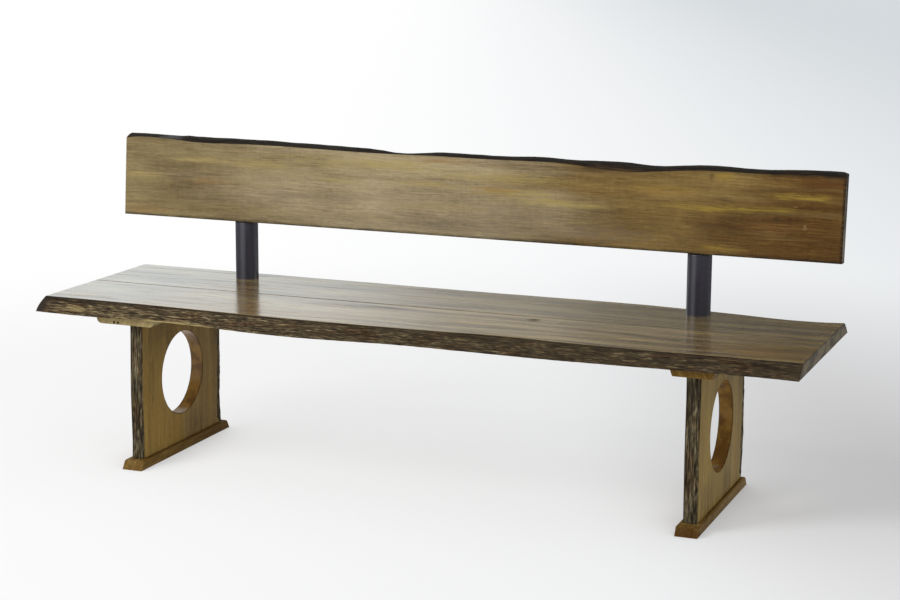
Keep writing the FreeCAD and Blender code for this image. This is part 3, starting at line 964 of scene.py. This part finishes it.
def uneven(name, colour, metallic, rough, sheen, speck_scale):
    """Painted steel, plated steel or plain beech with a slightly uneven surface."""
    make = new_shader(name)
    place = make.object_place()
    speck = make.noise(place, speck_scale, detail=3.0)
    darker = tuple(c * cloud_dim for c in colour[:3]) + (1.0,)
    return make.principled({
        "Base Color": make.mix(make.pattern(place, "cloud"), colour, darker), "Metallic": metallic,
        "Specular IOR Level": sheen,
        "Roughness": make.math("MULTIPLY_ADD", speck, speck_rough, rough - speck_rough / 2),
        "Normal": make.bump(speck, strength=0.12, distance=0.2 * mm)})


def add_turned(name, data, place, turn):
    """A lamp or camera at a place, with a turn as a quaternion."""
    thing = add_object(name, data)
    thing.location = place
    thing.rotation_mode = "QUATERNION"
    thing.rotation_quaternion = turn
    return thing


def make_camera():
    """The photograph's camera."""
    camera = bpy.data.cameras.new("camera")
    camera.lens = camera_lens
    camera.sensor_width = camera_sensor
    camera.sensor_fit = "HORIZONTAL"
    camera.clip_end = 200.0
    level = math.cos(camera_pitch)
    ahead = Vector((-math.sin(camera_yaw) * level, math.cos(camera_yaw) * level, -math.sin(camera_pitch)))
    turn = ahead.to_track_quat("-Z", "Y") @ Quaternion((0, 0, 1), camera_roll)
    bpy.context.scene.camera = add_turned("camera", camera, camera_place, turn)


def make_world():
    """Even soft light from all round, and a white background."""
    make = Shader(bpy.data.worlds.new("studio"))
    bpy.context.scene.world = make.holder
    seen = make.seen()
    strength = make.smooth(seen, 0.0, 1.0, ambient, 1.0)
    colour = make.mix(seen, white, sky_white)
    make.output(make.add("Background", {"Color": colour, "Strength": strength}), "OutputWorld")


def make_lamp(name, place, target, size, power):
    """A square soft lamp aimed at a point."""
    lamp = bpy.data.lights.new(name, "AREA")
    lamp.size = size
    lamp.energy = power
    add_turned(name, lamp, place, (Vector(target) - Vector(place)).to_track_quat("-Z", "Y"))


def stage_strip(name, rows, material):
    """A stage surface along a run of (first, last) point pairs."""
    points = [point for row in rows for point in row]
    faces = [(i, i + 1, i + 3, i + 2) for i in range(0, len(points) - 2, 2)]
    mesh = bpy.data.meshes.new(name)
    mesh.from_pydata(points, [], faces)
    mesh.materials.append(material)
    thing = add_object(name, mesh)
    return thing


def floor_material():
    """A pale floor that takes the bench's shadow and fades to white further off. Its glow carries painted
    shade: contact shade near the bench's feet and a falloff of light towards one side.
    """
    make = new_shader("pale_floor")
    place = make.object_place()
    sideways = make.add("VectorMath", {0: place, 1: falloff_way}, operation="DOT_PRODUCT").outputs["Value"]
    # Painted shade: ambient occlusion darkens the glow near the bench's feet, and a falloff darkens it
    # towards one side
    open_share = make.add("AmbientOcclusion", {"Distance": contact_reach}).outputs["AO"]
    strength = make.math("MULTIPLY", make.smooth(sideways, *falloff_span, 1.0, painted_falloff_dim),
                         make.smooth(open_share, *contact_span, painted_contact_shade, 1.0))
    tone = make.mix(make.smooth(sideways, *falloff_span), white, bluish)
    glowing = make.add("Emission", {"Color": tone, "Strength": strength})
    pale = make.add("BsdfDiffuse", {"Color": floor_grey})
    near = make.smooth(sideways, *near_white_span, near_white_left, near_white_right)
    share = make.between(make.smooth(make.length(place), floor_near, floor_far), near, 1.0)
    share = make.math("MULTIPLY", make.seen(), share)
    return make.output(make.add("MixShader", {0: share, 1: pale.outputs[0], 2: glowing.outputs[0]}))


def cloth_colour(cover, warm_white):
    """Colour of a cloth from 0, sky white, to 1, black. It turns to a warmer white as it darkens."""
    warm = min(1.0, cover * cloth_warming)
    pale = [cool * (1 - warm) + hue * warm for cool, hue in zip(sky_white[:3], warm_white)]
    return tuple(level * (1 - cover) for level in pale) + (1.0,)


def hang_cloth(name, rows, covers, warm_white, by_turn=False):
    """A cloth that only mirrored rays see, darker the more it covers at places along X or at turns."""
    make = new_shader(name)
    place, y, z = make.split(make.object_place())
    if by_turn:
        place = make.math("DEGREES", make.math("ARCTAN2", place, make.math("MULTIPLY", y, -1.0)))
    first, last = covers[0][0], covers[-1][0]
    run = make.math("DIVIDE", make.math("SUBTRACT", place, first), last - first)
    stops = [((at - first) / (last - first), cloth_colour(cover, warm_white)) for at, cover in covers]
    shining = make.add("Emission", {"Color": make.ramp(run, stops), "Strength": 1.0})
    cloth = stage_strip(name, rows, make.output(shining))
    cloth.visible_camera = False
    cloth.visible_diffuse = False
    cloth.visible_shadow = False


def arc_rows(first, last, high):
    """Foot and head of a cloth that hangs in an arc about the bench between two turns in degrees."""
    rows = []
    for turn in np.radians(np.linspace(first, last, arc_steps)):
        x, y = cloth_radius * math.sin(turn), -cloth_radius * math.cos(turn)
        rows.append(((x, y, hair), (x, y, high)))
    return rows


def make_studio():
    """Floor, lamps, world and the dark cloths that the lacquer mirrors."""
    make_world()
    floor_rows = [((-floor_half, y, 0), (floor_half, y, 0)) for y in (-floor_half, floor_half)]
    stage_strip("floor", floor_rows, floor_material())
    ends = (rear_covers[0][0], rear_covers[-1][0])
    rear = [((x, rear_y, rear_low), (x, rear_y, rear_high)) for x in ends]
    hang_cloth("rear_cloth", rear, rear_covers, cream)
    front = arc_rows(front_covers[0][0], front_covers[-1][0], front_high)
    hang_cloth("front_cloth", front, front_covers, bluish, by_turn=True)
    even = [(-cloth_radius, low_cover), (cloth_radius, low_cover)]
    hang_cloth("low_cloth", arc_rows(*low_turns, low_high), even, bluish)
    for name, settings in lamps.items():
        make_lamp(name, *settings)


# Colours of marks in the wood, among them painted shade and a painted highlight
gold = tint(168, 148, 84)
bright_gold = tint(160, 134, 54)
olive_gold = tint(170, 150, 94)
russet = tint(140, 88, 44)
red_brown = tint(98, 62, 28)
leg_olive = tint(94, 80, 46)
leg_golden = tint(160, 124, 58)
leg_shade_and_dark = tint(84, 66, 36)
dark_knot = tint(40, 30, 20)
dull_brown_and_shade = tint(84, 64, 40)
grey_painted_shade = tint(126, 114, 96)
pale_scratch = tint(176, 156, 112)
orange_brown = tint(152, 114, 62)
violet_grey = tint(128, 113, 96)
seat_amber = tint(150, 114, 50)
black_pit = tint(24, 18, 12)
sapwood = tint(170, 150, 102)
pore_brown = tint(36, 26, 16)
arris_brown = tint(30, 24, 18)
# Pale tan of the rails' arrises: wear, and a painted highlight along their edges
arris_tan_highlight = tint(142, 110, 64)
# Dark and light patches of sawn faces
end_cut = (tint(62, 54, 39), tint(108, 97, 72))
board_cut = (tint(96, 92, 82), tint(140, 134, 120))
hole_cut = (tint(104, 68, 26), tint(142, 104, 42))
rail_cut = (tint(90, 64, 30), tint(120, 92, 48))

# Colours of wood from dark to light grain, and of bark from furrow to crest
seat_stops = shades((76, 56, 26), (118, 95, 54), (142, 118, 72), (174, 150, 100))
seat_rear_stops = shades((68, 53, 28), (106, 88, 53), (128, 108, 69), (160, 138, 94))
# The back board's left end and middle are paler and greyer than its right: wood colour with a painted
# reflection of the lacquer's sheen
board_sheen_stops = shades((88, 72, 43), (117, 101, 67), (134, 117, 81), (154, 136, 93))
board_middle_sheen = shades((106, 91, 64), (142, 126, 95), (161, 144, 111), (182, 165, 130))
board_golden = shades((80, 60, 29), (112, 88, 46), (130, 105, 58), (152, 126, 73))
board_dark = shades((55, 35, 13), (82, 55, 21), (98, 69, 29), (124, 93, 42))
left_front_stops = shades((100, 74, 32), (138, 110, 54), (156, 127, 64), (176, 146, 80))
left_rear_stops = shades((82, 62, 30), (122, 98, 54), (140, 115, 66), (162, 136, 82))
right_front_stops = shades((98, 76, 34), (140, 114, 54), (162, 135, 66), (186, 158, 88))
right_rear_stops = shades((86, 66, 32), (126, 102, 52), (148, 123, 64), (174, 148, 86))
rail_stops = shades((66, 46, 18), (104, 78, 36), (122, 95, 47), (146, 119, 66))
bearer_stops = shades((112, 92, 56), (150, 132, 88), (168, 150, 106), (188, 172, 128))
seat_bark_stops = bark_shades((26, 20, 14), (49, 40, 27), (75, 63, 44), (122, 107, 78), (176, 161, 126))
leg_bark_stops = bark_shades((25, 22, 15), (47, 41, 29), (74, 66, 48), (112, 102, 77), (154, 144, 115))
board_bark_stops = bark_shades((14, 12, 9), (24, 20, 15), (38, 31, 23), (60, 49, 35), (104, 92, 72))

# Single spots and pits of the seat, the bark, a rail and a bearer
seat_knot = spot((0.2848, -0.033, 0.0), (0.022, 0.020, 0.02), dark_knot, 0.8, pitted=True)
knot_smudge = spot((0.325, -0.040, 0.0), (0.040, 0.022, 0.02), olive_gold, 0.8)
amber_patches = [
    spot((-0.66, 0.02, 0.0), (0.16, 0.14, 0.03), seat_amber, 0.7),
    spot((-0.50, -0.22, 0.0), (0.36, 0.10, 0.03), seat_amber, 0.8)]
end_amber = spot((0.90, -0.17, 0.0), (0.14, 0.09, 0.03), seat_amber, 0.7)
end_grey = spot((0.92, 0.10, 0.0), (0.14, 0.06, 0.03), violet_grey, 0.5)
seat_bark_spots = [
    spot((-0.914, -0.31, -0.019), (0.036, 0.05, 0.010), sapwood, 0.85, pitted=True),
    spot((-1.03, -0.30, -0.016), (0.030, 0.08, 0.05), tint(50, 43, 37), 0.85, pitted=True),
    spot((0.99, -0.30, -0.013), (0.12, 0.08, 0.013), tint(38, 28, 18), 0.75),
    spot((-0.62, -0.30, -0.0365), (0.17, 0.08, 0.0075), sapwood, 0.95, pitted=True)]
# On the board's top bark: first a pale grey glint at its left end, a painted highlight, then a browner patch
board_bark_glint_and_spot = [
    spot((-0.885, 0.205, -0.012), (0.045, 0.05, 0.03), tint(122, 122, 124), 0.8),
    spot((0.43, 0.195, -0.032), (0.11, 0.030, 0.011), tint(88, 66, 42), 0.8)]
dark_head = spot((0.37, -0.24, 0.0), (0.07, 0.08, 0.08), tint(44, 39, 31), 0.75)
dark_end = spot((-0.2735, 0.761, 0.010), (0.030, 0.10, 0.08), tint(72, 44, 19), 0.85, pitted=True)
bearer_pits = [spot((-0.2735, x, 0.4005), (0.008, 0.005, 0.005), black_pit, 1.0, pitted=True)
               for x in (-0.8042, -0.7921)]
# Streaks of the back board by colour, in the order they are laid: place along, height, half length,
# half width and share
# The broad dull grey, violet grey and dull brown patches are painted shade laid over the wood, greying or
# darkening it
board_spots = face_spots(
    (grey_painted_shade, (0.02, 0.03, 0.6, 0.04, 0.6)),
    (dull_brown_and_shade, (0.42, 0.06, 0.24, 0.045, 0.5), (-0.72, 0.05, 0.18, 0.03, 0.4)),
    (olive_gold, (-0.3, 0.18, 0.3, 0.024, 0.6)),
    (grey_painted_shade, (-0.42, 0.085, 0.2, 0.016, 0.6)),
    (gold, (0.1, 0.165, 0.3, 0.02, 0.6)),
    (olive_gold, (-0.95, 0.117, 0.11, 0.013, 0.7), (-0.798, 0.165, 0.11, 0.01, 0.7),
     (-0.608, 0.164, 0.14, 0.018, 0.7), (-0.368, 0.131, 0.1, 0.009, 0.7),
     (-0.195, 0.183, 0.15, 0.016, 0.7), (-0.104, 0.137, 0.15, 0.01, 0.8)),
    (gold, (0.142, 0.128, 0.17, 0.013, 0.9), (0.276, 0.107, 0.18, 0.012, 0.9)),
    (bright_gold, (0.56, 0.16, 0.13, 0.016, 0.5), (0.682, 0.119, 0.15, 0.013, 0.8),
     (0.834, 0.125, 0.14, 0.01, 0.7), (0.919, 0.161, 0.11, 0.012, 0.9),
     (0.715, 0.201, 0.04, 0.013, 0.8), (0.715, 0.019, 0.07, 0.01, 0.7)),
    (dull_brown_and_shade, (-0.813, 0.091, 0.09, 0.016, 0.4), (0.198, 0.2, 0.26, 0.014, 0.6),
     (0.45, 0.205, 0.12, 0.014, 0.8), (0.678, 0.073, 0.06, 0.01, 0.7), (0.712, 0.145, 0.04, 0.007, 0.7)),
    (red_brown, (0.97, 0.198, 0.08, 0.026, 0.7)),
    (dull_brown_and_shade, (0.682, 0.199, 0.009, 0.012, 0.8)),
    (dark_knot, (0.853, 0.1, 0.012, 0.01, 0.6)),
    (orange_brown, (-0.763, 0.108, 0.083, 0.013, 0.5), (0.088, 0.132, 0.095, 0.01, 0.7),
     (-0.948, 0.018, 0.102, 0.017, 0.4), (-0.05, 0.202, 0.108, 0.012, 0.5),
     (0.56, 0.154, 0.099, 0.015, 0.5), (0.845, 0.082, 0.105, 0.019, 0.4)),
    (violet_grey, (-0.564, 0.075, 0.097, 0.029, 0.5), (-0.192, 0.099, 0.11, 0.024, 0.5),
     (0.168, 0.073, 0.168, 0.032, 0.4), (-0.867, 0.116, 0.12, 0.017, 0.3),
     (0.391, 0.035, 0.163, 0.023, 0.4)),
    (pale_scratch, (0.901, 0.136, 0.011, 0.0024, 0.8), (0.927, 0.086, 0.005, 0.009, 0.35)))
# Patches of the legs in the same way: height, Y, half sizes and share. The leg shade patches are painted
# shade at the legs' feet by the rails and at the rear planks' heads under the seat, and one darker strip at
# mid height on the left front plank
left_front_spots = face_spots(
    (leg_olive, (0.35, -0.13, 0.09, 0.13, 0.7)),
    (leg_golden, (0.1, -0.17, 0.09, 0.05, 0.7), (0.07, -0.06, 0.06, 0.04, 0.6)),
    (leg_shade_and_dark, (0.22, -0.19, 0.1, 0.02, 0.5)))
right_front_spots = face_spots(
    (leg_shade_and_dark, (0.06, -0.15, 0.08, 0.12, 0.6)),
    (red_brown, (0.2, -0.212, 0.22, 0.022, 0.5)))
rear_leg_spots = face_spots(
    (leg_shade_and_dark, (0.33, 0.17, 0.12, 0.04, 0.7)),
    (leg_olive, (0.36, 0.07, 0.06, 0.05, 0.7)),
    (leg_shade_and_dark, (0.06, 0.06, 0.05, 0.05, 0.5)),
    (leg_golden, (0.12, 0.14, 0.1, 0.03, 0.5)))

# Looks of wood. rate and band_rate are rings and bands in a metre across the grain, and ring_run and
# band_run their changes in a metre along it. spread is contrast, sway the grain's wander in metres, rim the
# wear of arrises, which on the rails is pale and also paints a highlight along their edges, and coat_vary
# how much the thinnest lacquer lacks
plain_look = {
    "rate": 90.0, "ring_run": 0.9, "band_rate": 17.0, "band_run": 1.3, "bands": 0.1, "curl": 0.0,
    "flecks": 0.15, "streak_share": 0.5, "pore_share": 0.4, "spread": 1.0, "sway": 0.06, "rim": 0.75,
    "rim_colour": arris_brown, "rough": 0.45, "sheen": 0.3, "coat": 0.0, "coat_vary": 0.0,
    "coat_rough": 0.14, "coat_ior": 1.5, "cut_rough": 0.6, "cut_coat": 0.0}
seat_look = {
    "ring_run": 1.6, "band_rate": 34.0, "band_run": 2.0, "bands": 0.7, "flecks": 0.2, "spread": 1.5,
    "rough": 0.2, "sheen": 0.5, "coat": 1.0, "coat_vary": 0.75, "coat_rough": 0.18, "coat_ior": 1.7}
board_look = {
    "ring_run": 3.0, "band_run": 3.0, "bands": 0.22, "curl": 0.09, "flecks": 0.24, "streak_share": 0.2,
    "pore_share": 0.1, "spread": 0.85, "sway": 0.025, "rim": 0.85, "rough": 0.42, "sheen": 0.12,
    "coat": 0.1, "coat_rough": 0.3}
leg_look = {
    "rate": 30.0, "bands": 0.4, "flecks": 0.2, "streak_share": 0.3, "spread": 0.7, "sheen": 0.05,
    "cut_rough": 0.4}
rail_look = {"streak_share": 0.2, "rim": 0.6, "rim_colour": arris_tan_highlight, "sheen": 0.03}
hole_gloss = {"left": 0.45, "right": 0.2}
# Sizes of bark's flecks and strands along, across and through the grain
seat_flecks = (22.0 * mm, 3.0 * mm, 3.0 * mm)
seat_strands = (70.0 * mm, 3.4 * mm, 3.4 * mm)
leg_flecks = (36.0 * mm, 2.6 * mm, 2.6 * mm)
leg_strands = (120.0 * mm, 3.2 * mm, 3.2 * mm)

# Materials. Each wood has a shift of its patterns and the place of its pith, so that no two are alike
seat_front = wood("seat_front_wood", seat_stops, shift=(0.0, 0.0, 0.0), pith=(0.10, 0.16), cut=end_cut,
                  streak=gold, spots=amber_patches + [end_amber, knot_smudge, seat_knot], **seat_look)
seat_rear = wood("seat_rear_wood", seat_rear_stops, shift=(3.1, 0.7, 0.2), pith=(-0.75, 0.05), cut=end_cut,
                 streak=gold, spots=amber_patches + [end_grey], **seat_look)
board_later = [(-0.85, -0.40, board_middle_sheen), (0.12, 0.40, board_golden), (0.62, 0.94, board_dark)]
board_wood = wood("back_board_wood", board_sheen_stops, shift=(7.7, 0.0, 0.4), pith=(-0.09, -0.30), cut=board_cut,
                  streak=olive_gold, later=board_later, spots=board_spots, **board_look)
leg_planks = {
    "left": ((left_front_stops, (0.0, 5.1, 0.0), left_front_spots),
             (left_rear_stops, (2.0, 5.1, 0.0), rear_leg_spots)),
    "right": ((right_front_stops, (2.0, 6.4, 0.0), right_front_spots),
              (right_rear_stops, (4.0, 6.4, 0.0), rear_leg_spots))}
leg_piths = ((-0.05, 0.10), (-0.25, 0.10))
leg_woods = {}
for side in sides:
    for end, pith, (stops, shift, spots) in zip(("front", "rear"), leg_piths, leg_planks[side]):
        leg_woods[side, end] = wood(f"{side}_leg_{end}_wood", stops, shift, pith, hole_cut, gold,
                                    spots=spots, cut_coat=hole_gloss[side], **leg_look)
rail_pith = (0.1, 0.08)
light_rail = wood("light_rail_wood", rail_stops, (0.0, 9.3, 0.0), rail_pith, rail_cut, gold, **rail_look)
right_rail = wood("right_rail_wood", rail_stops, (2.0, 9.3, 0.0), rail_pith, rail_cut, gold,
                  spots=[dark_end], **rail_look)
pale_bearer = wood("pale_bearer_wood", bearer_stops, (4.0, 7.3, 0.0), rail_pith, rail_cut, olive_gold,
                   spots=bearer_pits, sheen=0.1, rim=0.3)
rail_woods = {"left": light_rail, "right": right_rail}
bearer_woods = {"left": pale_bearer, "right": light_rail}
seat_bark = bark("seat_bark", seat_bark_stops, (0.0, 2.0, 0.0), seat_flecks, seat_strands,
                 dim=(-0.8, 0.3, 0.06), spots=seat_bark_spots)
leg_barks = {}
for side, spots in (("left", []), ("right", [dark_head])):
    leg_barks[side] = bark(side + "_leg_bark", leg_bark_stops, (0.0, 4.0, 0.0), leg_flecks, leg_strands,
                           spots=spots)
board_bark = bark("board_bark", board_bark_stops, (0.0, 6.0, 0.0), leg_flecks, leg_strands,
                  spots=board_bark_glint_and_spot)
black_steel = uneven("black_steel", tint(46, 44, 58), metallic=0.0, rough=0.28, sheen=1.0,
                     speck_scale=(900.0, 900.0, 900.0))
zinc = uneven("zinc_steel", tint(176, 176, 178), metallic=1.0, rough=0.35, sheen=0.5,
              speck_scale=(1200.0, 1200.0, 300.0))
beech = uneven("dowel_beech", tint(188, 156, 112), metallic=0.0, rough=0.6, sheen=0.3,
               speck_scale=(400.0, 40.0, 400.0))

# Pieces, each in the place of its solid
y_first = [1, 0, 2]
z_first = [2, 0, 1]
seat_plank("seat_front_plank", facing=-1, seed=1.5, materials=(seat_front, seat_bark))
seat_plank("seat_rear_plank", facing=1, seed=2.5, materials=(seat_rear, seat_bark))
back_board("back_board", seed=5.5, materials=(board_wood, board_bark))
leg_seeds = {"left": (10.5, 13.5), "right": (20.5, 23.5)}
for side in sides:
    for end, facing, seed in zip(("front", "rear"), (-1, 1), leg_seeds[side]):
        leg_plank(f"{side}_leg_{end}_plank", facing, seed, (leg_woods[side, end], leg_barks[side]))
    eased_copy(side + "_bearer", "_wood", "rail_wood", bearer_woods[side], bearer_arris, y_first,
               lower_long_edges, bearer_rounds[side])
    eased_copy(side + "_foot_rail", "_wood", "rail_wood", rail_woods[side], rail_arris, y_first,
               rear_end_edges, rail_round)
    eased_copy(side + "_back_bracket", "_steel", "post_steel", black_steel, bracket_arris, z_first)
    eased_copy(side + "_backing_plate", "_steel", "post_steel", black_steel, plate_arris, y_first)
    post(side, black_steel)

# Fasteners and dowels keep the shape of their solids
carried = {"dowels": beech, "screws": zinc, "bolts": zinc, "post_base": zinc}
for name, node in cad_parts.items():
    for ending, material in carried.items():
        if name.endswith(ending):
            node.data.materials.clear()
            node.data.materials.append(material)

make_camera()
make_studio()
bpy.context.scene.view_settings.view_transform = "Standard"
